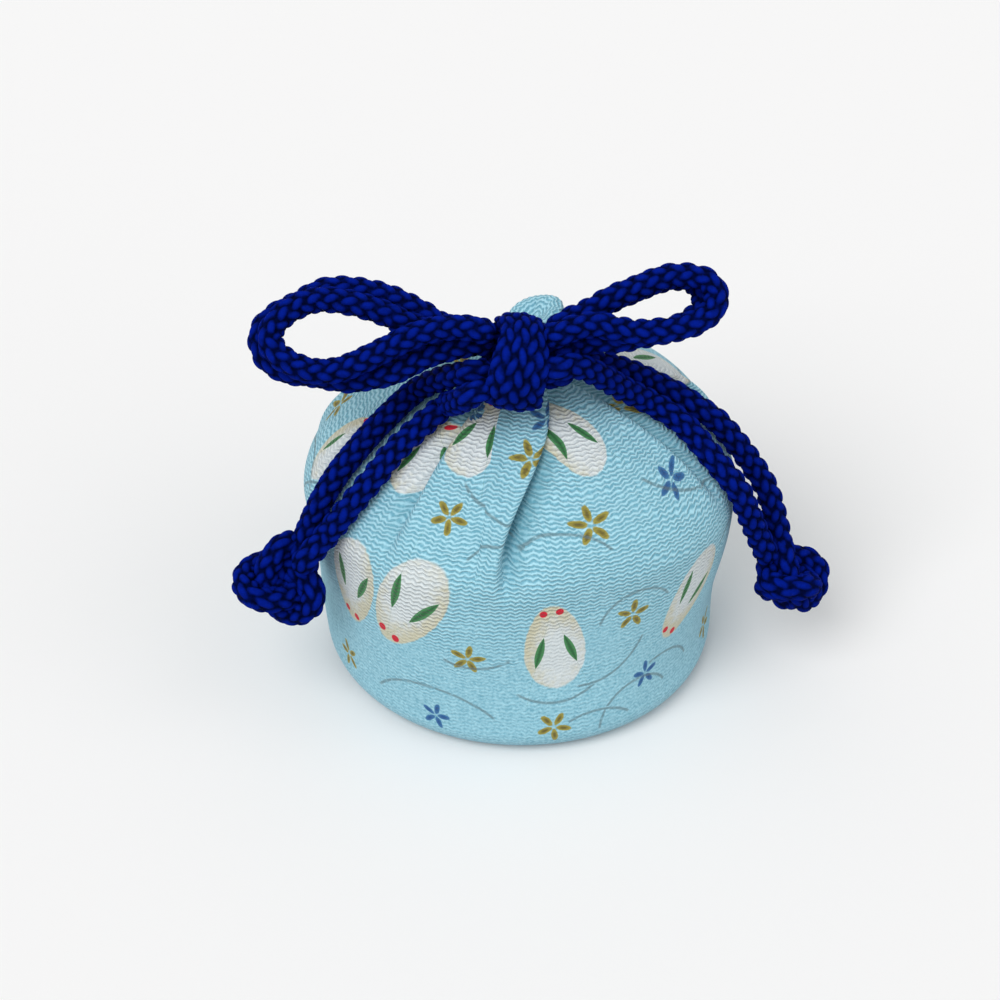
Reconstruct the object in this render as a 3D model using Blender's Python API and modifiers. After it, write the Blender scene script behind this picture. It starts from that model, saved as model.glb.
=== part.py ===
"""Scented sachet pouch: a small stuffed crepe bag, gathered at the neck and tied with a
thick braided cord in a bow of doubled loops, whose two doubled tails each end in a knot.

Units are metres, +Z is up, -Y is the front. The origin is the middle of the flat base.
"""
import math

import bpy
from mathutils import Matrix, Vector

MILLIMETRE = 0.001

# Clearance between touching pieces
SEAT_GAP = 0.0003

# Cloth bag, from the base up to the mouth
BASE_FLAT_RADIUS = 0.0225
FOOT_RADIUS = 0.0274
FOOT_HEIGHT = 0.0045
BELLY_RADIUS = 0.0297
BELLY_HEIGHT = 0.0270
SHOULDER_ROUNDNESS = 0.0088
NECK_RADIUS = 0.0030
NECK_HEIGHT = 0.0452
CONE_PULL = 0.0040
NECK_LENGTH = 0.0040
FRILL_RADIUS = 0.0039
FRILL_LENGTH = 0.0036
MOUTH_DEPTH = 0.0028
CLOTH_LIP = 0.0012
BELLY_FLATTENING = 0.93
BASE_FLATTENING = 0.97

# Where the middle of the bag lies at the base, at the neck and at the mouth
BASE_SHIFT = (0.0002, -0.0010)
NECK_SHIFT = (0.0010, 0.0019)
MOUTH_SHIFT = (0.0021, 0.0034)

# Gathers of the cloth
ROLL_SHARE = 0.35
ROLL_DISTANCE = 0.0017
ROLL_WIDTH = 0.0013
VALLEY_DISTANCE = 0.0003
VALLEY_WIDTH = 0.0009
UNDER_DISTANCE = 0.0026
UNDER_WIDTH = 0.0022
UNDER_SHARE = 0.30
UNDERCUT_SHARE = 0.45
DEPTH_PER_RADIUS = 0.17
PANEL_PUFF = 0.0006
CREASE_FADE = 0.009
CREASE_CROWDING = 0.6
FRILL_WAVES = 5
FRILL_WAVE_SHARE = 0.10
FRILL_CALM = 0.7
SIDE_WAVE = 0.00035
SIDE_WAVE_LENGTH = 0.052
NECK_PULL = 0.45
FOOT_BULGE = 0.0004
SHOULDER_BULGE = 0.0003

# Puffs of the shoulder: angle from the front and width in degrees, and how far they rise
SHOULDER_PUFFS = ((-98.0, 30.0, 0.0018), (128.0, 34.0, 0.0021))
PUFF_HEIGHT = 0.0385
PUFF_SPREAD = 0.0048

# Braided cord
CORD_RADIUS = 0.0017
NECK_TURN_HEIGHT = 0.0469
NECK_TURN_OPENING = 84.0
CORD_STEP = 0.0046

# Bow knot: two wraps side by side over a core
BOW_KNOT_CENTRE = (-0.0005, -0.0076, 0.0523)
BOW_WRAP_RADIUS = 0.0048
BOW_WRAP_OFFSETS = (-0.0020, 0.0020)
BOW_WRAP_SLANT = 7.0
BOW_CORE = (0.0040, 0.0048, 0.0050)

# End knots: three wraps turned against each other over a core
END_KNOT_CORE = 0.0050
END_WRAP_RADIUS = 0.0043
END_WRAP_SHIFT = 0.0006
LEFT_KNOT_CENTRE = (-0.0327, -0.0165, 0.0225)
RIGHT_KNOT_CENTRE = (0.0374, -0.0064, 0.0149)
LEFT_KNOT_TURN = (20.0, -25.0, 15.0)
RIGHT_KNOT_TURN = (-15.0, 20.0, 70.0)

# Creases of the gathered cloth in order round the bag: the angle from the front in degrees at
# the neck and at the shoulder, the depth, the side that laps over, the height where the crease
# runs out, and the number of mesh steps up to the next crease.
CREASES = (
    (-150.0, -146.0, 0.0024, 1, 0.028, 10),
    (-112.0, -110.0, 0.0027, -1, 0.026, 10),
    (-82.0, -74.0, 0.0022, 1, 0.029, 10),
    (-60.0, -38.0, 0.0016, -1, 0.029, 8),
    (-30.0, -12.0, 0.0012, 1, 0.036, 6),
    (45.0, -4.0, 0.0031, 1, 0.027, 16),
    (76.0, 67.0, 0.0018, 1, 0.030, 10),
    (106.0, 104.0, 0.0026, -1, 0.027, 10),
    (142.0, 145.0, 0.0022, 1, 0.029, 10),
    (178.0, 180.0, 0.0027, -1, 0.026, 10),
)

# Route points of the cord's free stretches, in millimetres, from the bow knot outwards
LEFT_LOOP_ROUTE = (
    (-5.8, -2.0, 52.0), (-7.6, -1.4, 52.7), (-10.4, -0.9, 53.5), (-13.4, -0.0, 54.7),
    (-17.2, 0.7, 56.1), (-20.1, 0.9, 56.9), (-23.2, 1.0, 57.3), (-26.1, 0.8, 57.2),
    (-29.1, -0.3, 56.1), (-31.8, -1.0, 55.2), (-33.7, -2.1, 54.0), (-34.2, -3.4, 52.7),
    (-33.3, -5.3, 51.3), (-30.5, -6.5, 50.2), (-27.3, -6.8, 49.7), (-25.1, -7.2, 49.4),
    (-22.4, -7.5, 49.2), (-19.6, -7.5, 49.7), (-17.5, -7.5, 50.2), (-15.8, -7.2, 50.8),
    (-12.1, -6.3, 52.4), (-8.3, -5.7, 53.3), (-6.0, -5.4, 53.6),
)
LEFT_INNER_LOOP_ROUTE = (
    (-14.6, -3.7, 55.5), (-15.8, -3.6, 56.0), (-16.8, -3.3, 56.5), (-19.4, -3.0, 57.5),
    (-22.3, -2.9, 58.4), (-26.0, -2.6, 58.7), (-28.8, -3.1, 58.2), (-31.4, -4.5, 57.1),
    (-32.7, -6.1, 55.5), (-32.0, -7.7, 54.1), (-30.0, -8.9, 53.0), (-27.0, -9.7, 52.3),
    (-24.1, -9.7, 52.4), (-22.2, -9.4, 52.9), (-19.9, -8.9, 53.8), (-16.9, -8.2, 55.1),
    (-15.4, -8.0, 55.9), (-13.4, -7.7, 56.7), (-11.1, -7.4, 57.3), (-8.5, -7.2, 57.5),
    (-5.7, -7.4, 57.3),
)
RIGHT_LOOP_ROUTE = (
    (4.8, -2.6, 54.0), (5.9, -2.4, 55.0), (7.5, -2.3, 55.8), (9.9, -2.2, 57.1),
    (12.1, -1.5, 58.2), (15.3, -0.7, 59.2), (17.7, -0.3, 60.1), (20.1, -0.0, 60.7),
    (22.3, -0.2, 60.8), (23.9, -0.7, 60.7), (25.2, -1.5, 60.1), (25.7, -2.7, 59.2),
    (25.4, -3.9, 58.4), (24.2, -5.0, 57.6), (22.2, -6.0, 57.0), (19.6, -6.5, 56.6),
    (17.3, -6.7, 56.5), (15.0, -6.9, 56.5), (12.6, -6.7, 56.9), (10.0, -6.5, 57.4),
    (8.3, -6.7, 57.3), (7.0, -7.0, 57.2), (5.6, -7.4, 56.8),
)
RIGHT_INNER_LOOP_ROUTE = (
    (9.6, 0.6, 54.5), (12.2, 1.5, 55.9), (15.4, 2.3, 57.0), (17.9, 2.8, 57.9),
    (20.3, 3.0, 58.4), (22.3, 2.7, 58.4), (23.7, 1.8, 57.9), (24.3, 0.4, 57.1),
    (24.1, -1.0, 56.1), (22.8, -2.1, 55.3), (21.1, -2.9, 54.7), (19.1, -3.5, 54.3),
    (17.1, -3.9, 54.1), (15.1, -4.3, 53.9), (12.8, -4.9, 53.7), (10.1, -5.1, 53.9),
    (7.6, -5.2, 53.4), (5.3, -6.3, 52.7),
)
LEFT_REAR_TAIL_ROUTE = (
    (-6.2, -8.1, 51.0), (-7.2, -7.2, 50.0), (-9.3, -5.4, 48.3), (-11.8, -3.1, 45.7),
    (-14.3, -2.1, 43.4), (-17.2, -4.3, 41.7), (-19.7, -6.6, 40.2), (-22.1, -8.9, 38.4),
    (-24.3, -10.9, 36.4), (-26.4, -12.8, 33.6), (-27.9, -13.6, 30.5), (-29.3, -14.8, 27.5),
)
LEFT_FRONT_TAIL_ROUTE = (
    (-6.2, -12.2, 50.3), (-7.3, -11.1, 48.8), (-8.5, -8.8, 46.5), (-9.9, -5.5, 43.7),
    (-12.0, -7.3, 42.9), (-14.5, -9.3, 41.6), (-17.0, -11.5, 40.1), (-18.9, -13.6, 38.5),
    (-21.0, -15.3, 36.6), (-23.3, -16.6, 34.0), (-25.7, -17.0, 30.7), (-27.9, -18.4, 28.6),
)
RIGHT_REAR_TAIL_ROUTE = (
    (4.9, -6.0, 48.8), (6.4, -4.3, 49.1), (8.7, -2.6, 48.7), (12.0, -0.7, 46.8),
    (15.0, 0.7, 44.7), (17.8, 1.4, 42.7), (21.4, 0.7, 41.0), (24.4, -0.2, 39.3),
    (26.9, -0.6, 37.4), (29.4, -1.2, 34.5), (31.9, -1.7, 30.9), (34.0, -2.9, 27.6),
    (35.2, -3.9, 24.0), (35.9, -4.8, 21.3),
)
RIGHT_FRONT_TAIL_ROUTE = (
    (4.8, -10.6, 53.3), (6.1, -9.9, 53.2), (7.3, -9.3, 52.8), (9.2, -8.0, 51.1),
    (11.4, -6.4, 48.6), (13.6, -4.7, 45.9), (17.1, -3.0, 42.6), (20.6, -3.7, 40.6),
    (23.1, -5.1, 38.9), (25.3, -7.0, 37.0), (27.5, -8.3, 34.7), (29.5, -9.0, 32.1),
    (31.0, -8.9, 28.2), (32.5, -8.3, 24.1), (33.3, -8.2, 22.0),
)

CLOTH_COLOUR = (0.36, 0.68, 0.79, 1.0)
CORD_COLOUR = (0.003, 0.012, 0.17, 1.0)


def clear_scene():
    """Remove every object, so that the script starts from an empty scene."""
    for item in list(bpy.data.objects):
        bpy.data.objects.remove(item)


def make_collection(name):
    collection = bpy.data.collections.new(name)
    bpy.context.scene.collection.children.link(collection)
    return collection


def make_material(name, colour, roughness):
    material = bpy.data.materials.new(name)
    material.use_nodes = True
    shader = material.node_tree.nodes["Principled BSDF"]
    shader.inputs["Base Color"].default_value = colour
    shader.inputs["Roughness"].default_value = roughness
    shader.inputs["Metallic"].default_value = 0.0
    material.diffuse_color = colour
    return material


def move_to(item, collection):
    for owner in list(item.users_collection):
        owner.objects.unlink(item)
    collection.objects.link(item)


def smooth_step(value, low, high):
    """Rise from 0 at low to 1 at high, without a corner at either end."""
    share = min(max((value - low) / (high - low), 0.0), 1.0)
    return share * share * (3.0 - 2.0 * share)


def bell(distance, centre, width):
    return math.exp(-((distance - centre) / width) ** 2)


def bezier(points, count):
    """Points on a cubic curve, without its first point."""
    start, pull, push, end = (Vector(point) for point in points)
    result = []
    for step in range(1, count + 1):
        share = step / count
        rest = 1.0 - share
        result.append(start * rest ** 3 + pull * 3 * rest * rest * share
                      + push * 3 * rest * share * share + end * share ** 3)
    return result


def bag_profile():
    """Half section of the bag as (radius, height), from the middle of the base to the mouth."""
    neck_top = NECK_HEIGHT + NECK_LENGTH
    mouth = neck_top + FRILL_LENGTH
    foot_pull = (FOOT_RADIUS - BASE_FLAT_RADIUS) * 0.6
    side_rise = (BELLY_HEIGHT - FOOT_HEIGHT) / 3
    shoulder_pull = BELLY_HEIGHT + SHOULDER_ROUNDNESS
    cone_pull = (NECK_RADIUS + (BELLY_RADIUS - NECK_RADIUS) * NECK_PULL, NECK_HEIGHT - CONE_PULL)
    profile = [Vector((0, 0)), Vector((BASE_FLAT_RADIUS * 0.55, 0)), Vector((BASE_FLAT_RADIUS, 0))]
    profile += bezier(((BASE_FLAT_RADIUS, 0), (BASE_FLAT_RADIUS + foot_pull, 0),
                       (FOOT_RADIUS, FOOT_HEIGHT * 0.3), (FOOT_RADIUS, FOOT_HEIGHT)), 3)
    profile += bezier(((FOOT_RADIUS, FOOT_HEIGHT), (FOOT_RADIUS + FOOT_BULGE, FOOT_HEIGHT + side_rise),
                       (BELLY_RADIUS, BELLY_HEIGHT - side_rise), (BELLY_RADIUS, BELLY_HEIGHT)), 5)
    profile += bezier(((BELLY_RADIUS, BELLY_HEIGHT), (BELLY_RADIUS + SHOULDER_BULGE, shoulder_pull),
                       cone_pull, (NECK_RADIUS, NECK_HEIGHT)), 12)
    profile += [Vector((NECK_RADIUS, neck_top))]
    profile += bezier(((NECK_RADIUS, neck_top), (NECK_RADIUS, neck_top + FRILL_LENGTH * 0.5),
                       (FRILL_RADIUS, mouth - FRILL_LENGTH * 0.4), (FRILL_RADIUS, mouth)), 3)
    profile += [Vector((FRILL_RADIUS - CLOTH_LIP * 0.5, mouth + CLOTH_LIP * 0.3)),
                Vector((FRILL_RADIUS - CLOTH_LIP, mouth - CLOTH_LIP * 0.3)),
                Vector((NECK_RADIUS * 0.45, mouth - MOUTH_DEPTH * 0.8)),
                Vector((0, mouth - MOUTH_DEPTH))]
    return profile


def crease_angle(crease, radius):
    """Angle of a crease at a radius: it swings from its neck angle to its shoulder angle."""
    neck_angle, shoulder_angle = crease[0], crease[1]
    share = min(max((radius - NECK_RADIUS) / (BELLY_RADIUS - NECK_RADIUS), 0.0), 1.0)
    return shoulder_angle + (neck_angle - shoulder_angle) * (1.0 - share) ** 2


def panel_at(turn_share):
    """Index of the panel at a share of the whole turn, and the share across that panel."""
    total = sum(crease[5] for crease in CREASES)
    position = (turn_share % 1.0) * total
    for index, crease in enumerate(CREASES):
        if position < crease[5]:
            return index, position / crease[5]
        position -= crease[5]
    return 0, 0.0


def pleat_shift(angle, radius, height):
    """How far the gathers move a point of the cloth: outwards, and along the turn."""
    outwards = 0.0
    along = 0.0
    neck_top = NECK_HEIGHT + NECK_LENGTH
    calm = 1.0 - FRILL_CALM * smooth_step(height, neck_top, neck_top + FRILL_LENGTH)
    for crease in CREASES:
        depth, lap, end_height = crease[2], crease[3], crease[4]
        strength = min(depth, radius * DEPTH_PER_RADIUS) * calm
        strength *= smooth_step(height, end_height, end_height + CREASE_FADE)
        turn = (angle - crease_angle(crease, radius) + 180.0) % 360.0 - 180.0
        distance = math.radians(turn) * radius * lap
        outwards += strength * ROLL_SHARE * bell(distance, -ROLL_DISTANCE, ROLL_WIDTH)
        outwards -= strength * bell(distance, VALLEY_DISTANCE, VALLEY_WIDTH)
        outwards -= strength * UNDER_SHARE * bell(distance, UNDER_DISTANCE, UNDER_WIDTH)
        along -= strength * UNDERCUT_SHARE * lap * bell(distance, VALLEY_DISTANCE, VALLEY_WIDTH)
    return outwards, along


def bag_middle(height):
    """Middle of the bag at a height: it leans from the base to the neck and on to the mouth."""
    neck_top = NECK_HEIGHT + NECK_LENGTH
    mouth = neck_top + FRILL_LENGTH
    base = 1.0 - smooth_step(height, 0.0, BELLY_HEIGHT * 0.6)
    neck = smooth_step(height, BELLY_HEIGHT, NECK_HEIGHT)
    tip = smooth_step(height, neck_top, mouth)
    return tuple(base * BASE_SHIFT[axis] + neck * NECK_SHIFT[axis]
                 + tip * (MOUTH_SHIFT[axis] - NECK_SHIFT[axis]) for axis in (0, 1))


def gathered(point):
    """Place of a point of the turned bag once its cloth is gathered into pleats."""
    radius, height = math.hypot(point.x, point.y), point.z
    if radius < BASE_FLAT_RADIUS * 0.01:
        middle = bag_middle(height)
        return Vector((middle[0], middle[1], height))
    index, share = panel_at(math.atan2(point.x, -point.y) / math.tau)
    here = crease_angle(CREASES[index], radius)
    following = crease_angle(CREASES[(index + 1) % len(CREASES)], radius)
    width = (following - here) % 360.0
    crowded = share - CREASE_CROWDING * math.sin(math.tau * share) / math.tau
    angle = here + width * crowded
    outwards, along = pleat_shift(angle, radius, height)
    puffed = smooth_step(height, BELLY_HEIGHT * 0.9, BELLY_HEIGHT + CREASE_FADE)
    puffed *= 1.0 - smooth_step(height, NECK_HEIGHT - CREASE_FADE, NECK_HEIGHT)
    outwards += PANEL_PUFF * puffed * math.sin(math.pi * share)
    turn = math.radians(angle)
    side = smooth_step(height, 0.0, FOOT_HEIGHT * 2) * (1.0 - smooth_step(
        height, BELLY_HEIGHT, NECK_HEIGHT - CREASE_FADE))
    climb = math.tau * height / SIDE_WAVE_LENGTH
    outwards += SIDE_WAVE * side * (math.sin(3 * turn + 1.0 + climb)
                                    + 0.6 * math.sin(5 * turn - 0.8 - climb * 0.75))
    neck_top = NECK_HEIGHT + NECK_LENGTH
    frill = smooth_step(height, neck_top, neck_top + FRILL_LENGTH)
    outwards += radius * frill * FRILL_WAVE_SHARE * math.cos(FRILL_WAVES * turn + 0.6)
    rise = frill * CLOTH_LIP * 0.4 * math.cos(5 * turn + 1.2)
    for puff_angle, puff_width, puff_rise in SHOULDER_PUFFS:
        away = (angle - puff_angle + 180.0) % 360.0 - 180.0
        rise += puff_rise * bell(away, 0.0, puff_width) * bell(height, PUFF_HEIGHT, PUFF_SPREAD)
    middle = bag_middle(height)
    flattening = BASE_FLATTENING + (BELLY_FLATTENING - BASE_FLATTENING) * smooth_step(
        height, 0.0, BELLY_HEIGHT)
    flattening += (1.0 - BELLY_FLATTENING) * smooth_step(height, BELLY_HEIGHT, NECK_HEIGHT)
    across = (radius + outwards) * math.sin(turn) + along * math.cos(turn)
    forward = (radius + outwards) * math.cos(turn) - along * math.sin(turn)
    return Vector((across + middle[0], -forward * flattening + middle[1], height + rise))


def build_pouch_cloth(collection, material):
    """Turn the half section into a closed bag, then gather its cloth."""
    profile = [Vector((point.x, 0, point.y)) for point in reversed(bag_profile())]
    edges = [(index, index + 1) for index in range(len(profile) - 1)]
    outline = bpy.data.meshes.new("pouch_outline")
    outline.from_pydata(profile, edges, [])
    turned = bpy.data.objects.new("pouch_outline", outline)
    collection.objects.link(turned)
    screw = turned.modifiers.new("turn", "SCREW")
    screw.axis = "Z"
    screw.steps = sum(crease[5] for crease in CREASES)
    screw.render_steps = screw.steps
    screw.use_merge_vertices = True
    screw.merge_threshold = 0.00001
    bpy.context.view_layer.update()
    evaluated = turned.evaluated_get(bpy.context.evaluated_depsgraph_get())
    mesh = bpy.data.meshes.new_from_object(evaluated)
    mesh.name = "pouch_cloth"
    bpy.data.objects.remove(turned)
    for vertex in mesh.vertices:
        vertex.co = gathered(vertex.co)
    mesh.shade_smooth()
    mesh.materials.clear()
    mesh.materials.append(material)
    bag = bpy.data.objects.new("pouch_cloth", mesh)
    collection.objects.link(bag)
    return bag


def smooth_route(points):
    """Points at even steps on a smooth curve through the route points."""
    places = [Vector(point) for point in points]
    padded = [places[0] * 2 - places[1]] + places + [places[-1] * 2 - places[-2]]
    fine = [places[0]]
    for before, start, end, after in zip(padded, padded[1:], padded[2:], padded[3:]):
        lead_in, lead_out = (end - before) / 6, (after - start) / 6
        fine += bezier((start, start + lead_in, end - lead_out, end), 12)
    lengths = [0.0]
    for start, end in zip(fine, fine[1:]):
        lengths.append(lengths[-1] + (end - start).length)
    count = max(2, round(lengths[-1] / CORD_STEP))
    result = []
    for step in range(count + 1):
        target = lengths[-1] * step / count
        index = max(i for i, length in enumerate(lengths[:-1]) if length <= target)
        span = lengths[index + 1] - lengths[index]
        result.append(fine[index].lerp(fine[index + 1], (target - lengths[index]) / span))
    return result


def build_cord(name, points, collection, material):
    """A plain round cord along a route given in metres."""
    data = bpy.data.curves.new(name, "CURVE")
    data.dimensions = "3D"
    data.bevel_depth = CORD_RADIUS
    data.bevel_resolution = 2
    data.use_fill_caps = True
    spline = data.splines.new("POLY")
    places = smooth_route(points)
    spline.points.add(len(places) - 1)
    for point, place in zip(spline.points, places):
        point.co = (*place, 1.0)
    data.materials.append(material)
    cord = bpy.data.objects.new(name, data)
    collection.objects.link(cord)
    return cord


def build_neck_turn(collection, material):
    """Stretch of cord round the back of the neck, open at the front behind the bow knot."""
    reach = NECK_RADIUS + SEAT_GAP + CORD_RADIUS
    points = []
    for step in range(9):
        angle = math.radians(NECK_TURN_OPENING + (360.0 - 2 * NECK_TURN_OPENING) * step / 8)
        points.append((NECK_SHIFT[0] + reach * math.sin(angle),
                       NECK_SHIFT[1] - reach * math.cos(angle), NECK_TURN_HEIGHT))
    return build_cord("neck_turn", points, collection, material)


def add_wrap(name, centre, turn, radius, guides):
    """One round turn of cord, used as a piece of a knot."""
    bpy.ops.mesh.primitive_torus_add(major_radius=radius, minor_radius=CORD_RADIUS,
                                     major_segments=20, minor_segments=8)
    wrap = bpy.context.object
    wrap.name = name
    wrap.location = centre
    wrap.rotation_euler = [math.radians(angle) for angle in turn]
    wrap.hide_render = True
    wrap.display_type = "WIRE"
    move_to(wrap, guides)
    return wrap


def build_knot(name, centre, core, wraps, collection, guides, material):
    """A tied knot: an inner core joined with the round turns of cord that show on it."""
    bpy.ops.mesh.primitive_uv_sphere_add(segments=20, ring_count=12, radius=1.0)
    knot = bpy.context.object
    knot.name = name
    knot.data.transform(Matrix.Diagonal((*core, 1.0)))
    knot.location = centre
    move_to(knot, collection)
    for index, (offset, turn, radius) in enumerate(wraps):
        place = Vector(centre) + Vector(offset)
        wrap = add_wrap(f"{name}_wrap_{index + 1}", place, turn, radius, guides)
        join = knot.modifiers.new(f"wrap_{index + 1}", "BOOLEAN")
        join.operation = "UNION"
        join.object = wrap
    knot.data.materials.append(material)
    return knot


def main():
    clear_scene()
    parts = make_collection("scented_sachet_pouch")
    guides = make_collection("knot_guides")
    cloth = make_material("crepe_cloth", CLOTH_COLOUR, 0.85)
    cord = make_material("braided_cord", CORD_COLOUR, 0.6)
    build_pouch_cloth(parts, cloth)
    build_neck_turn(parts, cord)
    routes = {
        "left_loop": LEFT_LOOP_ROUTE,
        "left_inner_loop": LEFT_INNER_LOOP_ROUTE,
        "right_loop": RIGHT_LOOP_ROUTE,
        "right_inner_loop": RIGHT_INNER_LOOP_ROUTE,
        "left_rear_tail": LEFT_REAR_TAIL_ROUTE,
        "left_front_tail": LEFT_FRONT_TAIL_ROUTE,
        "right_rear_tail": RIGHT_REAR_TAIL_ROUTE,
        "right_front_tail": RIGHT_FRONT_TAIL_ROUTE,
    }
    for name, route in routes.items():
        build_cord(name, [Vector(point) * MILLIMETRE for point in route], parts, cord)
    bow_wraps = [((offset, 0, 0), (0, 90 + BOW_WRAP_SLANT, 0), BOW_WRAP_RADIUS)
                 for offset in BOW_WRAP_OFFSETS]
    build_knot("bow_knot", BOW_KNOT_CENTRE, BOW_CORE, bow_wraps, parts, guides, cord)
    ends = {"left_end_knot": (LEFT_KNOT_CENTRE, LEFT_KNOT_TURN),
            "right_end_knot": (RIGHT_KNOT_CENTRE, RIGHT_KNOT_TURN)}
    for name, (centre, turn) in ends.items():
        wraps = [((0, 0, END_WRAP_SHIFT), turn, END_WRAP_RADIUS),
                 ((END_WRAP_SHIFT, 0, 0), (turn[0] + 90, turn[1], turn[2]), END_WRAP_RADIUS),
                 ((0, END_WRAP_SHIFT, 0), (turn[0], turn[1] + 90, turn[2]), END_WRAP_RADIUS)]
        core = (END_KNOT_CORE, END_KNOT_CORE, END_KNOT_CORE)
        build_knot(name, centre, core, wraps, parts, guides, cord)


main()
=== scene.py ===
"""Looks of a scented sachet pouch: gathered crepe cloth tied with a thick braided cord."""
import logging
import math
from dataclasses import dataclass, field
from enum import Enum

import bmesh
import bpy
import numpy as np
from mathutils import Euler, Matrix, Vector


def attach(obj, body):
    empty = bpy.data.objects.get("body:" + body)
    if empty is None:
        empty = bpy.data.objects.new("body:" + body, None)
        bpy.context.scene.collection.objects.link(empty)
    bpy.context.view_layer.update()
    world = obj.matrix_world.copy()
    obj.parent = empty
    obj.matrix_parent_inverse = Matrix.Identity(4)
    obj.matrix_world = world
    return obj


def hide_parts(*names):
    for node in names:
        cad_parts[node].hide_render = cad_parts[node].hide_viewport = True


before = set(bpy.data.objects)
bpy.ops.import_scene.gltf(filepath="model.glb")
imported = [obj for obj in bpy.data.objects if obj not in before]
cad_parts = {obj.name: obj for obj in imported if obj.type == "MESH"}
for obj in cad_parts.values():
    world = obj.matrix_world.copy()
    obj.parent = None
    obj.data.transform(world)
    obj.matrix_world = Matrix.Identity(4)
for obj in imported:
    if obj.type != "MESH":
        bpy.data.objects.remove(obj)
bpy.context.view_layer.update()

log = logging.getLogger("sachet")

MM = 0.001
TAU = math.tau


def smooth_step(value: np.ndarray | float, low: float, high: float) -> np.ndarray:
    """Rise from 0 at low to 1 at high without a corner.

    Args:
        value: numbers to map.
        low: where the rise starts.
        high: where it ends.

    Returns:
        The share risen at each number.
    """
    share = np.clip((value - low) / (high - low), 0.0, 1.0)
    return share * share * (3.0 - 2.0 * share)


def bell(distance: np.ndarray, centre: float, width: float) -> np.ndarray:
    """A smooth hump of height 1 at centre."""
    return np.exp(-(((distance - centre) / width) ** 2))


def bezier(points: tuple, count: int) -> list[np.ndarray]:
    """Points on a cubic curve, without its first point.

    Args:
        points: the start, its pull, the push of the end, and the end.
        count: how many points to return.

    Returns:
        The points, the last of them being the end.
    """
    start, pull, push, end = (np.array(point, float) for point in points)
    shares = [step / count for step in range(1, count + 1)]
    return [start * (1 - t) ** 3 + pull * 3 * (1 - t) ** 2 * t + push * 3 * (1 - t) * t * t
            + end * t ** 3 for t in shares]


class Value:
    """A shader socket that takes part in Python arithmetic."""

    def __init__(self, shader: "Shader", socket: bpy.types.NodeSocket) -> None:
        """Keep the socket and the shader that owns it."""
        self.shader = shader
        self.socket = socket

    def maths(self, operation: str, *others: "Value | float") -> "Value":
        """Join this value and others in a Math node.

        Args:
            operation: the Math node's operation.
            others: the other operands in order.

        Returns:
            The node's result.
        """
        operands = dict(enumerate((self, *others)))
        return self.shader.add("ShaderNodeMath", {"operation": operation}, operands)

    def __add__(self, other: "Value | float") -> "Value":
        """Sum."""
        return self.maths("ADD", other)

    __radd__ = __add__

    def __mul__(self, other: "Value | float") -> "Value":
        """Product."""
        return self.maths("MULTIPLY", other)

    __rmul__ = __mul__

    def __sub__(self, other: "Value | float") -> "Value":
        """Difference."""
        return self.maths("SUBTRACT", other)

    def __rsub__(self, other: float) -> "Value":
        """Difference from a number."""
        return self * -1.0 + other

    def __truediv__(self, other: "Value | float") -> "Value":
        """Quotient."""
        return self.maths("DIVIDE", other)

    def __pow__(self, other: float) -> "Value":
        """Power."""
        return self.maths("POWER", other)

    def __abs__(self) -> "Value":
        """Size without its sign."""
        return self.maths("ABSOLUTE")

    def highest(self, other: "Value | float") -> "Value":
        """The larger of two values."""
        return self.maths("MAXIMUM", other)

    def ramp(self, low: float, high: float, start: float = 0.0, end: float = 1.0) -> "Value":
        """Map low..high smoothly to start..end and hold it beyond.

        Args:
            low: value that gives start.
            high: value that gives end.
            start: result at low.
            end: result at high.

        Returns:
            The mapped value.
        """
        return self.shader.add("ShaderNodeMapRange", {"interpolation_type": "SMOOTHSTEP"},
                               {0: self, 1: low, 2: high, 3: start, 4: end})


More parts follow.
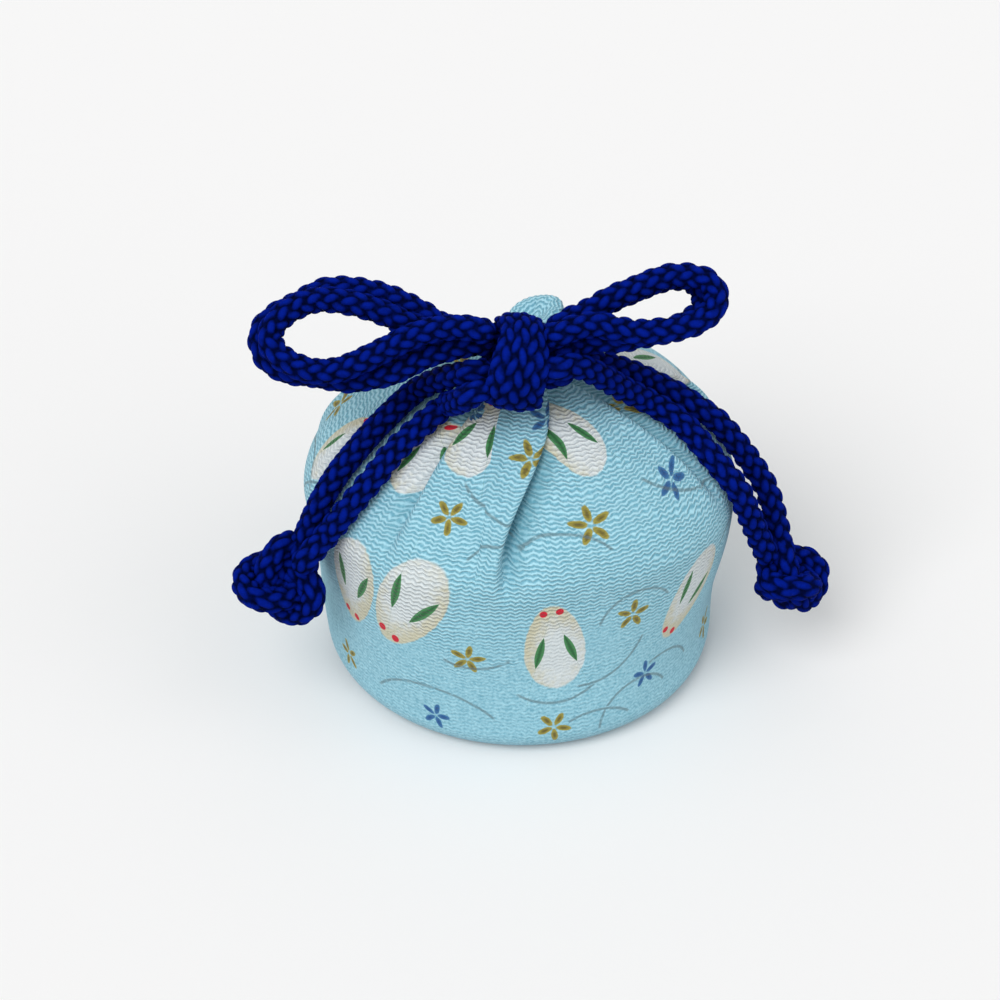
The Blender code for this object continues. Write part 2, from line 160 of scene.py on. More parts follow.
class Shader:
    """A material under construction."""

    def __init__(self, name: str) -> None:
        """Start an empty node tree.

        Args:
            name: the material's name.
        """
        self.material = bpy.data.materials.new(name)
        self.material.use_nodes = True
        self.tree = self.material.node_tree
        self.tree.nodes.clear()

    def add(self, kind: str, settings: dict | None = None, inputs: dict | None = None,
            output: int | str = 0) -> Value:
        """Add one node.

        Args:
            kind: the node's type.
            settings: attributes to set before the sockets.
            inputs: a value or link for each input, by name or index.
            output: the output to return.

        Returns:
            That output as a value.
        """
        node = self.tree.nodes.new(kind)
        for key, setting in (settings or {}).items():
            setattr(node, key, setting)
        for key, source in (inputs or {}).items():
            if isinstance(source, Value):
                self.tree.links.new(source.socket, node.inputs[key])
            else:
                node.inputs[key].default_value = source
        return Value(self, node.outputs[output])

    def split(self, vector: Value) -> tuple[Value, Value, Value]:
        """The three parts of a vector."""
        node = self.add("ShaderNodeSeparateXYZ", inputs={0: vector}).socket.node
        return tuple(Value(self, socket) for socket in node.outputs)

    def mix(self, share: Value | float, first: Value | tuple, second: Value | tuple) -> Value:
        """A colour between two colours.

        Args:
            share: 0 gives the first, 1 the second.
            first: a colour.
            second: a colour.

        Returns:
            The mixed colour.
        """
        return self.add("ShaderNodeMix", {"data_type": "RGBA"}, {0: share, 6: first, 7: second},
                        2)

    def noise(self, place: Value, scale: float, detail: float = 2.0) -> Value:
        """Cloudy values about 0.5.

        Args:
            place: where to read them.
            scale: clouds to the unit of place.
            detail: how many finer layers are added.

        Returns:
            The values.
        """
        return self.add("ShaderNodeTexNoise", {"noise_dimensions": "3D"},
                        {"Vector": place, "Scale": scale, "Detail": detail})

    def uv(self, name: str) -> Value:
        """The coordinates of a named UV map."""
        return self.add("ShaderNodeUVMap", {"uv_map": name})

    def attribute(self, name: str) -> Value:
        """A number stored on the mesh."""
        return self.add("ShaderNodeAttribute", {"attribute_name": name}, output="Fac")

    def place(self) -> Value:
        """Object coordinates in millimetres."""
        found = self.add("ShaderNodeTexCoord", output="Object")
        return self.add("ShaderNodeVectorMath", {"operation": "SCALE"}, {0: found, "Scale": 1 / MM})

    def finish(self, inputs: dict) -> bpy.types.Material:
        """Close the tree with a Principled surface.

        Args:
            inputs: the surface's own sockets.

        Returns:
            The material.
        """
        surface = self.add("ShaderNodeBsdfPrincipled", inputs=inputs)
        output = self.tree.nodes.new("ShaderNodeOutputMaterial")
        self.tree.links.new(surface.socket, output.inputs["Surface"])
        return self.material


class Motif(Enum):
    """What is printed at a place on the cloth."""

    NONE = 0.0
    MOUND = 1.0
    GOLD = 2.0
    BLUE = 3.0


@dataclass(frozen=True)
class CrepeFinish:
    """Pale blue crepe with its ripples and its traditional print; lengths in millimetres."""

    name: str = "crepe_cloth"
    ridge_pitch: float = 0.64
    zigzag_length: float = 1.35
    zigzag_share: float = 0.42
    ridge_height: float = 0.13
    faint_ridge_height: float = 0.025
    grain_height: float = 0.11
    drift_scale: float = 0.22
    jitter_scale: float = 1.1
    grain_scale: float = 2.6
    # Ends of the cloth's colour: the cloth's random tone and the ripple's painted highlight and shade
    # swing between them.
    deep: tuple = (0.165, 0.44, 0.57, 1)
    light: tuple = (0.47, 0.83, 0.96, 1)
    # Painted shade beside the creases: the dark teal and how far the cloth's colour goes towards it.
    painted_crease_shade_colour: tuple = (0.09, 0.30, 0.38, 1)
    painted_crease_shade_share: float = 0.6
    roughness: float = 0.82
    edge_roughness: float = 0.18

    def build(self) -> bpy.types.Material:
        """Make the material.

        Returns:
            The finished material.
        """
        sh = Shader(self.name)
        place = sh.place()
        u, v, _ = sh.split(sh.uv("weave"))
        drift = sh.noise(place, self.drift_scale, 1.0) - 0.5
        jitter = sh.noise(place, self.jitter_scale, 2.0) - 0.5
        zigzag = (u / self.zigzag_length + drift * 1.6).maths("PINGPONG", 0.5)
        wave = v / self.ridge_pitch + zigzag * (self.zigzag_share * 2) + drift * 2.0 + jitter * 0.7
        ridge = (wave * TAU).maths("COSINE") * 0.5 + 0.5
        gathered = sh.attribute("ripple") + drift * 0.9
        strong = gathered.ramp(0.1, 0.85)
        grain = sh.noise(place, self.grain_scale, 3.0)
        height = (ridge * strong * self.ridge_height + ridge * self.faint_ridge_height
                  + grain * self.grain_height)
        # Tone: the ridge's part is painted highlight on the ripple crests and painted shade in the
        # valleys; grain and jitter add the cloth's own random tone.
        tone_with_painted_light = (ridge - 0.45) * (strong * 0.62 + 0.16) + (grain - 0.5) * 1.1 + jitter * 0.3
        cloth = sh.mix((tone_with_painted_light + 0.5).ramp(0.0, 1.0), self.deep, self.light)
        # Painted shade: the cloth's colour darkened towards dark teal beside each crease, where shade
        # falls.
        cloth = sh.mix(sh.attribute("painted_crease_shade") * self.painted_crease_shade_share, cloth, self.painted_crease_shade_colour)
        colour = self.printed(sh, cloth, tone_with_painted_light + 0.5, jitter)
        normal = sh.add("ShaderNodeBump", inputs={"Strength": 1.0, "Distance": MM, "Height": height})
        return sh.finish({"Base Color": colour, "Roughness": self.roughness, "Normal": normal,
                          "Specular IOR Level": 0.25, "Sheen Weight": 0.15,
                          "Sheen Roughness": 0.5})

    def printed(self, sh: Shader, cloth: Value, lit: Value, jitter: Value) -> Value:
        """Lay the print over the cloth's colour.

        Args:
            sh: the shader under construction.
            cloth: the plain cloth's colour.
            lit: how light the ripple makes a place, as painted highlight and shade.
            jitter: small noise that roughens the print's edges.

        Returns:
            The printed colour.
        """
        rough = jitter * self.edge_roughness
        kind = sh.attribute("motif")
        x, y, _ = sh.split(sh.uv("print"))
        colour = self.mound(sh, cloth, (x, y, kind), lit, (rough, jitter))
        colour = self.flower(sh, colour, (x, y, kind), rough)
        return self.line(sh, colour, (rough, jitter))

    def mound(self, sh: Shader, under: Value, at: tuple, lit: Value, noise: tuple) -> Value:
        """A rounded white mound with two leaves and two red dots.

        Args:
            sh: the shader under construction.
            under: the colour below.
            at: place across and along the motif, and the kind of motif.
            lit: how light the ripple makes a place, as painted highlight and shade.
            noise: noise of the edges and of the tones.

        Returns:
            The colour with the mound on it.
        """
        (x, y, kind), (rough, jitter) = at, noise
        is_mound = abs(kind - Motif.MOUND.value).maths("LESS_THAN", 0.5)
        egg_x = x / (y * 0.16 + 0.86)
        egg = (egg_x * egg_x + y * y).maths("SQRT") + rough * 0.5
        # The print's cream and white take the ripple's painted highlight and shade.
        cream = sh.mix(lit, (0.55, 0.53, 0.38, 1), (0.74, 0.73, 0.56, 1))
        white = sh.mix(lit, (0.60, 0.68, 0.71, 1), (0.86, 0.93, 0.94, 1))
        shade = x * 0.22 + y * -0.25 + egg * 0.75 + jitter * 0.7
        body = sh.mix(shade.ramp(0.25, 0.9), white, cream)
        colour = sh.mix(egg.ramp(1.0, 0.94) * is_mound, under, body)
        side, narrow = abs(x), 0.66
        leaf_x, leaf_y = (side - 0.43) * narrow, y - 0.10
        leaf_side, leaf_along = leaf_x * 0.96 - leaf_y * 0.28, leaf_y * 0.96 + leaf_x * 0.28
        leaf_width = (0.078 - leaf_along * leaf_along * 0.57).highest(0.001)
        leaf = abs(leaf_side) / leaf_width + rough
        green = sh.mix(leaf.ramp(0.0, 0.8), (0.025, 0.14, 0.045, 1), (0.07, 0.28, 0.10, 1))
        colour = sh.mix(leaf.ramp(1.08, 0.9) * is_mound, colour, green)
        dot_x, dot_y = (side - 0.22) * narrow, y + 0.80
        dot = (dot_x * dot_x + dot_y * dot_y).maths("SQRT") + rough * 0.1
        return sh.mix(dot.ramp(0.080, 0.062) * is_mound, colour, (0.66, 0.012, 0.035, 1))

    def flower(self, sh: Shader, under: Value, at: tuple, rough: Value) -> Value:
        """Five loose petals in gold or blue.

        Args:
            sh: the shader under construction.
            under: the colour below.
            at: place across and along the motif, and the kind of motif.
            rough: noise of the edges.

        Returns:
            The colour with the flower on it.
        """
        x, y, kind = at
        radius = (x * x + y * y).maths("SQRT")
        fifth = TAU / 5
        turn = (y.maths("ARCTAN2", x) + fifth * 2.75).maths("MODULO", fifth) - fifth / 2
        across = radius * turn.maths("SINE")
        along = radius * turn.maths("COSINE") - 0.56
        petal = ((across / 0.19) ** 2 + (along / 0.44) ** 2).maths("SQRT") + rough * 3.0
        gold = sh.mix(petal.ramp(0.1, 0.9), (0.17, 0.14, 0.035, 1), (0.39, 0.34, 0.065, 1))
        blue = sh.mix(petal.ramp(0.1, 0.9), (0.02, 0.10, 0.30, 1), (0.05, 0.19, 0.42, 1))
        is_flower = kind.maths("GREATER_THAN", (Motif.MOUND.value + Motif.GOLD.value) / 2)
        is_blue = kind.maths("GREATER_THAN", (Motif.GOLD.value + Motif.BLUE.value) / 2)
        return sh.mix(petal.ramp(1.1, 0.85) * is_flower, under, sh.mix(is_blue, gold, blue))

    def line(self, sh: Shader, under: Value, noise: tuple) -> Value:
        """A thin broken grey line along the nearest arc.

        Args:
            sh: the shader under construction.
            under: the colour below.
            noise: noise of the edges and of the tones.

        Returns:
            The colour with the line on it.
        """
        rough, jitter = noise
        side, along, _ = sh.split(sh.uv("arc"))
        line = (abs(side) + rough).ramp(0.34, 0.08)
        line = line * (along.ramp(0.0, 0.04) * along.ramp(1.0, 0.96))
        line = line * (jitter * 2.0 + 0.75).ramp(0.1, 0.7)
        return sh.mix(line * 0.66, under, (0.13, 0.20, 0.225, 1))


@dataclass(frozen=True)
class BraidFinish:
    """Royal blue braided cord with fine shiny filaments."""

    name: str = "braided_cord"
    # The valley colour is painted shade: near black between the lumps, where shade falls; crown is the
    # cord's blue on the lumps' tops.
    painted_valley_shade: tuple = (0.0001, 0.0022, 0.030, 1.0)
    crown: tuple = (0.0008, 0.0135, 0.30, 1.0)

    def build(self) -> bpy.types.Material:
        """Make the material.

        Returns:
            The finished material.
        """
        sh = Shader(self.name)
        place = sh.place()
        around, along, _ = sh.split(sh.uv("weave"))
        rise = sh.attribute("rise")
        lay = sh.attribute("lay")
        thread = (around + along * lay * 1.3) * 5.0 + sh.noise(place, 1.2, 2.0) * 2.5
        filament = (thread * TAU).maths("SINE") * 0.5 + 0.5
        patch = sh.noise(place, 1.3, 3.0) - 0.5
        # Painted shade: the colour darkens towards the valleys between lumps by their rise; patch and
        # filament add random tone and thread streaks.
        tone_with_painted_light = rise.ramp(0.0, 1.2) + patch * 1.1 + (filament - 0.5) * 0.34
        colour = sh.mix(tone_with_painted_light, self.painted_valley_shade, self.crown)
        height = filament * 0.035 + sh.noise(place, 2.6, 3.0) * 0.12
        normal = sh.add("ShaderNodeBump", inputs={"Strength": 0.8, "Distance": MM, "Height": height})
        return sh.finish({"Base Color": colour, "Roughness": 0.7, "Normal": normal,
                          "Specular IOR Level": 0.02})


@dataclass(frozen=True)
class FloorFinish:
    """Plain pale floor and backdrop."""

    name: str = "pale_floor"
    seen: tuple = (0.945, 0.943, 0.942, 1.0)
    bounced: tuple = (0.55, 0.55, 0.55, 1.0)

    def build(self) -> bpy.types.Material:
        """Make the material.

        Returns:
            The finished material.
        """
        sh = Shader(self.name)
        direct = sh.add("ShaderNodeLightPath", output="Is Camera Ray")
        direct = direct.highest(sh.add("ShaderNodeLightPath", output="Is Glossy Ray"))
        direct = direct.highest(sh.add("ShaderNodeLightPath", output="Is Transmission Ray"))
        colour = sh.mix(direct, self.bounced, self.seen)
        return sh.finish({"Base Color": colour, "Roughness": 0.95,
                          "Specular IOR Level": 0.0})


def object_from_grid(name: str, places: np.ndarray, maps: dict[str, np.ndarray],
                     numbers: dict[str, np.ndarray], material: bpy.types.Material,
                     merge: float = 2e-6) -> bpy.types.Object:
    """Bend a flat grid into a closed skin and join its edges.

    Args:
        name: the piece's name.
        places: rows x columns x 3 places in metres.
        maps: coordinates by UV map name, rows-1 x columns-1 x 4 corners x 2 each.
        numbers: values by attribute name, rows x columns each.
        material: the piece's finish.
        merge: corners nearer than this become one.

    Returns:
        The finished piece.
    """
    rows, columns = places.shape[:2]
    skin = bmesh.new()
    bmesh.ops.create_grid(skin, x_segments=columns - 1, y_segments=rows - 1, size=1.0)
    mesh = bpy.data.meshes.new(name)
    skin.to_mesh(mesh)
    skin.free()
    flat = np.empty(len(mesh.vertices) * 3, np.float32)
    mesh.vertices.foreach_get("co", flat)
    flat = flat.reshape(-1, 3)
    column = np.rint((flat[:, 0] + 1) / 2 * (columns - 1)).astype(int)
    row = np.rint((flat[:, 1] + 1) / 2 * (rows - 1)).astype(int)
    mesh.vertices.foreach_set("co", places[row, column].astype(np.float32).ravel())
    corner_vertex = np.empty(len(mesh.loops), np.int32)
    mesh.loops.foreach_get("vertex_index", corner_vertex)
    face_column = column[corner_vertex].reshape(-1, 4)
    face_row = row[corner_vertex].reshape(-1, 4)
    low_column, low_row = face_column.min(1), face_row.min(1)
    corner = (face_row - low_row[:, None]) * 2 + (face_column - low_column[:, None])
    for key, table in maps.items():
        layer = mesh.uv_layers.new(name=key)
        values = table[low_row[:, None], low_column[:, None], corner]
        layer.data.foreach_set("uv", values.astype(np.float32).ravel())
    for key, table in numbers.items():
        if table.shape == (rows, columns):
            store = mesh.attributes.new(key, "FLOAT", "POINT")
            store.data.foreach_set("value", table[row, column].astype(np.float32))
        else:
            store = mesh.attributes.new(key, "FLOAT", "FACE")
            store.data.foreach_set("value", table[low_row, low_column].astype(np.float32))
    skin = bmesh.new()
    skin.from_mesh(mesh)
    bmesh.ops.remove_doubles(skin, verts=skin.verts, dist=merge)
    bmesh.ops.dissolve_degenerate(skin, edges=skin.edges, dist=merge / 4)
    bmesh.ops.recalc_face_normals(skin, faces=skin.faces)
    skin.to_mesh(mesh)
    skin.free()
    mesh.shade_smooth()
    mesh.materials.append(material)
    piece = bpy.data.objects.new(name, mesh)
    bpy.context.scene.collection.objects.link(piece)
    return piece


def corner_table(first: np.ndarray, second: np.ndarray) -> np.ndarray:
    """Coordinates for each face corner from values at the grid's points.

    Args:
        first: rows x columns values of the first coordinate.
        second: the same of the second.

    Returns:
        rows-1 x columns-1 x 4 x 2 values, corner 0 lowest in both, 1 next column, 2 next row.
    """
    both = np.stack((first, second), -1)
    return np.stack((both[:-1, :-1], both[:-1, 1:], both[1:, :-1], both[1:, 1:]), 2)


@dataclass(frozen=True)
class Crease:
    """A crease of the gathered cloth: angles from the front in degrees, sizes in metres."""

    neck: float
    shoulder: float
    depth: float
    lap: int
    end: float
    steps: int


@dataclass(frozen=True)
class Printed:
    """One printed motif: its place on the unrolled cloth in millimetres, turn and size."""

    kind: Motif
    u: float
    v: float
    turn: float
    size: float
    width: float = 1.0


@dataclass
class Pouch:
    """The stuffed cloth bag."""

    finish: bpy.types.Material
    base_flat: float = 0.0225
    foot_radius: float = 0.0274
    foot_height: float = 0.0045
    belly_radius: float = 0.0297
    belly_height: float = 0.0270
    shoulder: float = 0.0088
    neck_radius: float = 0.0030
    neck_height: float = 0.0452
    cone_pull: float = 0.0040
    neck_length: float = 0.0040
    frill_radius: float = 0.0039
    frill_length: float = 0.0036
    base_shift: tuple = (0.0002, -0.0010)
    neck_shift: tuple = (0.0010, 0.0019)
    mouth_shift: tuple = (0.0021, 0.0034)
    # Shoulder puffs: angle, angular width and rise.
    puffs: tuple = ((-98.0, 30.0, 0.0018), (128.0, 34.0, 0.0016))
    # Swells of the side wall: angle, angular width, height, spread and how far out.
    swells: tuple = ((-80.0, 26.0, 0.0080, 0.0060, 0.0008),
                     (84.0, 26.0, 0.0110, 0.0080, -0.0005))
    finer: int = 4
    base_points: tuple = (0.0, 0.04, 0.15, 0.3, 0.45, 0.6, 0.75, 0.88, 0.96, 1.0)
    neck_pull: float = 0.45
    foot_bulge: float = 0.0004
    shoulder_bulge: float = 0.0003
    # Cross section of a crease: place, width and share of its depth; then its painted shade: place, width
    # and the depth that darkens the colour fully.
    fold_before: tuple = (-0.0017, 0.0013, 0.35)
    fold_bottom: tuple = (0.0003, 0.0009)
    fold_after: tuple = (0.0026, 0.0022, 0.30)
    fold_shade: tuple = (0.0008, 0.0013, 0.0031)
    fold_fade: float = 0.009
    puff_level: tuple = (0.0385, 0.0048)
    wave_height: float = 0.00035
    wave_climb: float = 0.052
    panel_puff: float = 0.0006
    tuft_wave: float = 0.05
    tuft_ripple: float = 0.00007
    tuft_ripples: int = 26
    tuft_lean: float = 0.0010
    ripple_fade: tuple = (0.010, 0.036)
    faint_ripple: float = 0.12
    creases: tuple = (
        Crease(-150.0, -146.0, 0.0024, 1, 0.028, 10),
        Crease(-112.0, -110.0, 0.0027, -1, 0.026, 10),
        Crease(-82.0, -74.0, 0.0022, 1, 0.029, 10),
        Crease(-60.0, -38.0, 0.0016, -1, 0.029, 8),
        Crease(-30.0, -12.0, 0.0012, 1, 0.036, 6),
        Crease(45.0, -4.0, 0.0031, 1, 0.027, 16),
        Crease(76.0, 67.0, 0.0018, 1, 0.030, 10),
        Crease(106.0, 104.0, 0.0026, -1, 0.027, 10),
        Crease(142.0, 145.0, 0.0022, 1, 0.029, 10),
        Crease(178.0, 180.0, 0.0027, -1, 0.026, 10),
    )
    # Print: places round and up the unrolled cloth in millimetres, turn, size and width.
    mounds: tuple = (
        (-25.8, 48.9, -12.0, 8.0, 0.64), (-15.6, 50.0, -29.0, 9.0, 0.62),
        (4.8, 45.0, -175.0, 7.7, 0.66), (26.7, 46.5, -33.0, 7.6, 0.60), (12.6, 76.2, -163.0, 6.4, 0.68),
        (-12.0, 76.6, 173.0, 6.6, 0.68), (-25.4, 70.0, -159.0, 6.0, 0.66),
        (-41.4, 62.9, -175.0, 6.0, 0.66), (-58.0, 46.0, -25.0, 8.0, 0.68),
        (-74.0, 68.0, 168.0, 7.6, 0.68), (-88.0, 44.0, -150.0, 7.8, 0.68),
        (50.0, 45.0, -20.0, 8.0, 0.68), (60.0, 72.0, 172.0, 7.8, 0.68), (73.0, 47.0, -160.0, 8.0, 0.68),
        (86.0, 73.0, 20.0, 7.6, 0.68),
    )
    gold_flowers: tuple = (
        (-12.1, 64.4, 10.0, 2.6), (11.3, 63.6, 40.0, 3.0), (-2.8, 74.3, -10.0, 2.8),
        (41.2, 74.8, 0.0, 2.6), (-7.2, 42.9, 25.0, 2.6), (4.7, 30.8, 5.0, 2.7), (16.1, 47.9, 30.0, 2.6),
        (-51.1, 62.3, 15.0, 2.6), (-31.0, 32.6, 50.0, 2.4), (-66.0, 34.0, 0.0, 2.6),
        (-63.0, 78.0, 20.0, 2.6), (40.0, 58.0, 35.0, 2.6), (61.0, 38.0, 12.0, 2.6),
        (88.0, 56.0, 28.0, 2.6), (38.0, 33.0, 0.0, 2.6),
    )
    blue_flowers: tuple = (
        (25.4, 64.5, 0.0, 2.9), (-12.9, 31.0, 20.0, 2.3), (19.5, 35.6, 40.0, 2.3),
        (-14.0, 79.6, 10.0, 2.4), (-1.8, 80.2, 30.0, 2.4), (-72.0, 51.0, 0.0, 2.5),
        (-88.0, 62.0, 15.0, 2.5), (72.0, 62.0, 30.0, 2.5), (86.0, 35.0, 5.0, 2.5),
        (-46.0, 34.0, 25.0, 2.4),
    )
    motif_reach: float = 1.6
    # Lines: centre round and up the cloth, radius, start angle and sweep.
    arcs: tuple = (
        (-2.6, 76.5, 11.4, -143, 88), (-2.1, 55.2, 7.1, 59, 90), (-6.6, 49.8, 8.6, -119, 67),
        (-13.4, 22.9, 13.3, 43, 95), (4.9, 44.1, 9.1, -128, 83), (7.0, 55.3, 7.6, 32, 109),
        (16.9, 46.0, 5.9, 32, 136), (9.5, 46.4, 9.2, -99, 81), (11.1, 23.7, 8.7, 49, 71),
        (18.3, 28.8, 6.5, 32, 149), (22.6, 29.7, 7.8, 30, 80), (36.8, 82.8, 22.8, -137, 48),
        (-36.0, 50.0, 8.0, 60, 95), (-46.0, 50.0, 8.5, 40, 100), (-60.0, 60.0, 8.0, 30, 110),
        (-68.0, 56.0, 9.0, -120, 80), (-54.0, 26.0, 9.0, 40, 95), (-78.0, 30.0, 9.0, 50, 90),
        (-82.0, 50.0, 8.0, 20, 90), (38.0, 44.0, 8.5, 30, 95), (50.0, 60.0, 8.0, 40, 110),
        (58.0, 58.0, 7.0, 30, 95), (52.0, 28.0, 8.5, 40, 100), (66.0, 28.0, 7.5, 30, 110),
        (82.0, 52.0, 8.5, 40, 95), (76.0, 66.0, 8.0, -120, 80), (90.0, 26.0, 8.0, 40, 100),
    )

    def profile(self) -> np.ndarray:
        """Half section of the bag, from the middle of the base to the mouth.

        Returns:
            Points as radius and height.
        """
        top = self.neck_height + self.neck_length
        mouth = top + self.frill_length
        foot, belly, neck = self.foot_radius, self.belly_radius, self.neck_radius
        pull = (foot - self.base_flat) * 0.6
        rise = (self.belly_height - self.foot_height) / 3
        line = [np.array((self.base_flat * share, 0.0)) for share in self.base_points]
        line += bezier(((self.base_flat, 0), (self.base_flat + pull, 0),
                        (foot, self.foot_height * 0.3), (foot, self.foot_height)), 18)
        line += bezier(((foot, self.foot_height), (foot + self.foot_bulge, self.foot_height + rise),
                        (belly, self.belly_height - rise), (belly, self.belly_height)), 56)
        line += bezier(((belly, self.belly_height),
                        (belly + self.shoulder_bulge, self.belly_height + self.shoulder),
                        (neck + (belly - neck) * self.neck_pull, self.neck_height - self.cone_pull),
                        (neck, self.neck_height)), 120)
        line += bezier(((neck, self.neck_height), (neck, self.neck_height + self.neck_length * 0.4),
                        (neck, top - self.neck_length * 0.4), (neck, top)), 10)
        frill = self.frill_radius
        widest, brim = (frill, mouth - 0.0014), (frill * 0.5, mouth)
        line += bezier(((neck, top), (neck + 0.0003, top + 0.0006), (frill, mouth - 0.0026), widest), 14)
        line += bezier((widest, (frill, mouth - 0.0001), (frill * 0.8, mouth + 0.0005), brim), 18)
        line += bezier((brim, (frill * 0.35, mouth - 0.0004), (frill * 0.3, mouth - 0.0014),
                        (0.0, mouth - 0.0016)), 10)
        return np.array(line)

    def crease_angle(self, crease: Crease, radius: np.ndarray) -> np.ndarray:
        """Angle of a crease at a radius: it swings from its neck angle to its shoulder angle."""
        share = np.clip((radius - self.neck_radius) / (self.belly_radius - self.neck_radius), 0, 1)
        return crease.shoulder + (crease.neck - crease.shoulder) * (1.0 - share) ** 2

    def middle(self, height: np.ndarray) -> list[np.ndarray]:
        """Middle of the bag at a height.

        Args:
            height: height above the base.

        Returns:
            The middle's place across and forward.
        """
        top = self.neck_height + self.neck_length
        base = 1.0 - smooth_step(height, 0.0, self.belly_height * 0.6)
        neck = smooth_step(height, self.belly_height, self.neck_height)
        tip = smooth_step(height, top, top + self.frill_length)
        return [base * self.base_shift[axis] + neck * self.neck_shift[axis]
                + tip * (self.mouth_shift[axis] - self.neck_shift[axis]) for axis in (0, 1)]

    def pleats(self, angle: np.ndarray, radius: np.ndarray,
               height: np.ndarray) -> tuple[np.ndarray, np.ndarray, np.ndarray]:
        """How far the gathers move the cloth.

        Args:
            angle: angle from the front in degrees.
            radius: distance from the axis before gathering.
            height: height above the base.

        Returns:
            The move outwards, the move along the turn, and how much painted shade darkens the cloth's
            colour beside each crease.
        """
        outwards, along, painted_crease_shade = np.zeros_like(angle), np.zeros_like(angle), np.zeros_like(angle)
        top = self.neck_height + self.neck_length
        calm = 1.0 - 0.9 * smooth_step(height, top - 0.001, top + 0.001)
        for crease in self.creases:
            strength = np.minimum(crease.depth, radius * 0.17) * calm
            strength = strength * smooth_step(height, crease.end, crease.end + self.fold_fade)
            turn = (angle - self.crease_angle(crease, radius) + 180.0) % 360.0 - 180.0
            distance = np.radians(turn) * radius * crease.lap
            bottom = strength * bell(distance, *self.fold_bottom)
            outwards += strength * self.fold_before[2] * bell(distance, *self.fold_before[:2])
            outwards -= bottom
            outwards -= strength * self.fold_after[2] * bell(distance, *self.fold_after[:2])
            along -= bottom * 0.45 * crease.lap
            # Painted shade: a band beside the crease whose colour is darkened, more where the crease is
            # deeper.
            shade_at, shade_width, full_depth = self.fold_shade
            painted_crease_shade = np.maximum(painted_crease_shade, strength / full_depth * bell(distance, shade_at, shade_width))
        return outwards, along, painted_crease_shade

    def build(self) -> bpy.types.Object:
        """Make the bag's skin.

        Returns:
            The finished piece.
        """
        line = self.profile()
        lengths = np.concatenate(([0.0], np.cumsum(np.hypot(*np.diff(line, axis=0).T))))
        panel, share = [], []
        for index, crease in enumerate(self.creases):
            count = crease.steps * self.finer
            panel += [index] * count
            share += [step / count for step in range(count)]
        panel, share = np.array(panel + [0]), np.array(share + [0.0])
        shape = (len(line), len(panel))
        radius = np.broadcast_to(line[:, :1], shape)
        height = np.broadcast_to(line[:, 1:], shape)
        edges = np.stack([self.crease_angle(crease, line[:, 0]) for crease in self.creases])
        here = edges[panel].T
        width = (edges[(panel + 1) % len(self.creases)].T - here) % 360.0
        crowded = share - 0.6 * np.sin(TAU * share) / TAU
        angle = here + width * crowded
        outwards, along, painted_crease_shade = self.pleats(angle, radius, height)
        puffed = smooth_step(height, self.belly_height * 0.9, self.belly_height + self.fold_fade)
        puffed = puffed * (1.0 - smooth_step(height, self.neck_height - self.fold_fade, self.neck_height))
        outwards = outwards + self.panel_puff * puffed * np.sin(math.pi * share)
        turn = np.radians(angle)
        side = smooth_step(height, 0.0, self.foot_height * 2) * (
            1.0 - smooth_step(height, self.belly_height, self.neck_height - self.fold_fade))
        climb = TAU * height / self.wave_climb
        outwards = outwards + self.wave_height * side * (np.sin(3 * turn + 1.0 + climb)
                                                       + 0.6 * np.sin(5 * turn - 0.8 - climb * 0.75))
        for swell_angle, swell_width, swell_height, swell_spread, swell_rise in self.swells:
            away = (angle - swell_angle + 180.0) % 360.0 - 180.0
            outwards = outwards + (swell_rise * bell(away, 0.0, swell_width)
                                   * bell(height, swell_height, swell_spread))
        top = self.neck_height + self.neck_length
        frill = smooth_step(height, top, top + self.frill_length * 0.5)
        fan = self.tuft_ripple * np.cos(self.tuft_ripples * turn) * smooth_step(radius, 0.001, 0.003)
        outwards = outwards + frill * (radius * self.tuft_wave * np.cos(3 * turn + 0.6) + fan)
        rise = frill * self.tuft_lean * np.sin(turn - 0.4)
        for puff_angle, puff_width, puff_rise in self.puffs:
            away = (angle - puff_angle + 180.0) % 360.0 - 180.0
            rise = rise + puff_rise * bell(away, 0.0, puff_width) * bell(height, *self.puff_level)
        middle = self.middle(height)
        flattening = 0.97 - 0.04 * smooth_step(height, 0.0, self.belly_height)
        flattening = flattening + 0.07 * smooth_step(height, self.belly_height, self.neck_height)
        reach = radius + outwards
        across = reach * np.sin(turn) + along * np.cos(turn)
        forward = reach * np.cos(turn) - along * np.sin(turn)
        places = np.stack((across + middle[0], middle[1] - forward * flattening, height + rise), -1)
        on_axis = line[:, 0] < 1e-9
        places[on_axis] = places[on_axis, :1]
        places[:, -1] = places[:, 0]
        weave = self.unrolled(line, lengths, angle, panel)
        prints, kinds = self.layout(weave)
        ripple = self.faint_ripple
        ripple = ripple + (1.0 - self.faint_ripple) * smooth_step(height, *self.ripple_fade)
        pouch = object_from_grid(
            "gathered_pouch", places, {"weave": weave, "print": prints, "arc": self.lines(weave)},
            {"ripple": ripple, "painted_crease_shade": painted_crease_shade, "motif": kinds}, self.finish)
        log.info("pouch with %d faces", len(pouch.data.polygons))
        return pouch

